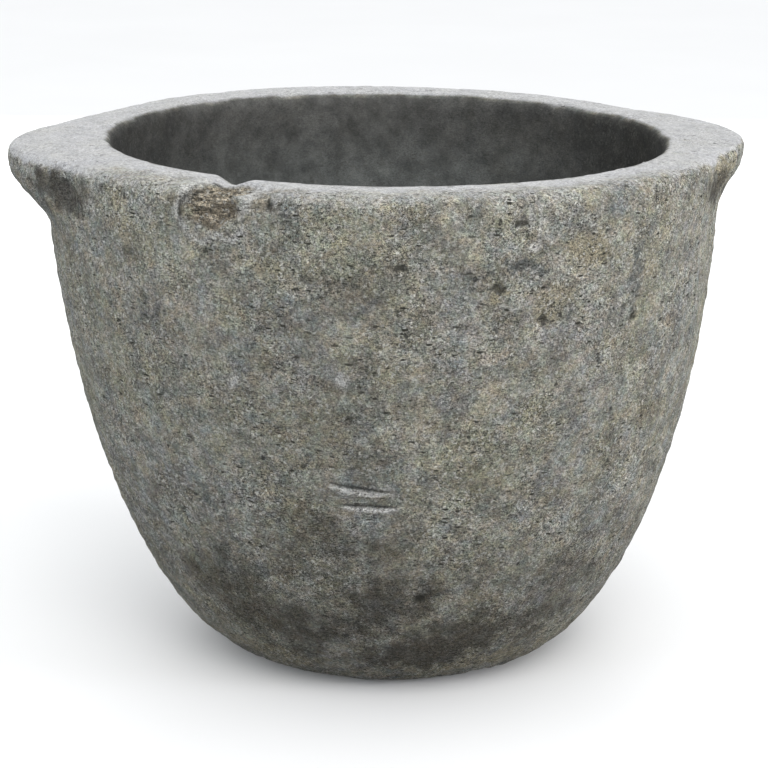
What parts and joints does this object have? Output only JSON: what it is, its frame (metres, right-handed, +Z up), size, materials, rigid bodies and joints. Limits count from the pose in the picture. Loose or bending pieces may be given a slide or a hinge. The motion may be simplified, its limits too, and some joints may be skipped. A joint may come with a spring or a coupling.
{
  "type": "stone mortar and pestle",
  "caption": "Deep round stone mortar with a small flat base, a broad flat rim, unequal lug handles at its sides and a loose stone pestle leaning in the bowl.",
  "frame": {"origin": "centre of the flat underside, on the axis of the bowl", "axes": "+Z up along the bowl's axis, +X towards the shorter lug, -X towards the longer lug, -Y towards the side with the broken rim, within 8 degrees of the viewer"},
  "size_m": [0.313, 0.284, 0.22],
  "materials": {
    "mortar_stone": "matte",
    "pestle_stone": "matte"
  },
  "bodies": {
    "mortar_body": {"mortar": "mortar_stone"},
    "pestle_body": {"pestle": "pestle_stone"}
  },
  "joints": [
    {"name": "pestle_sweep", "type": "hinge", "parent": "mortar_body", "child": "pestle_body", "pos_m": [0, 0, 0], "axis": [0, 0, 1], "continuous": true}
  ]
}
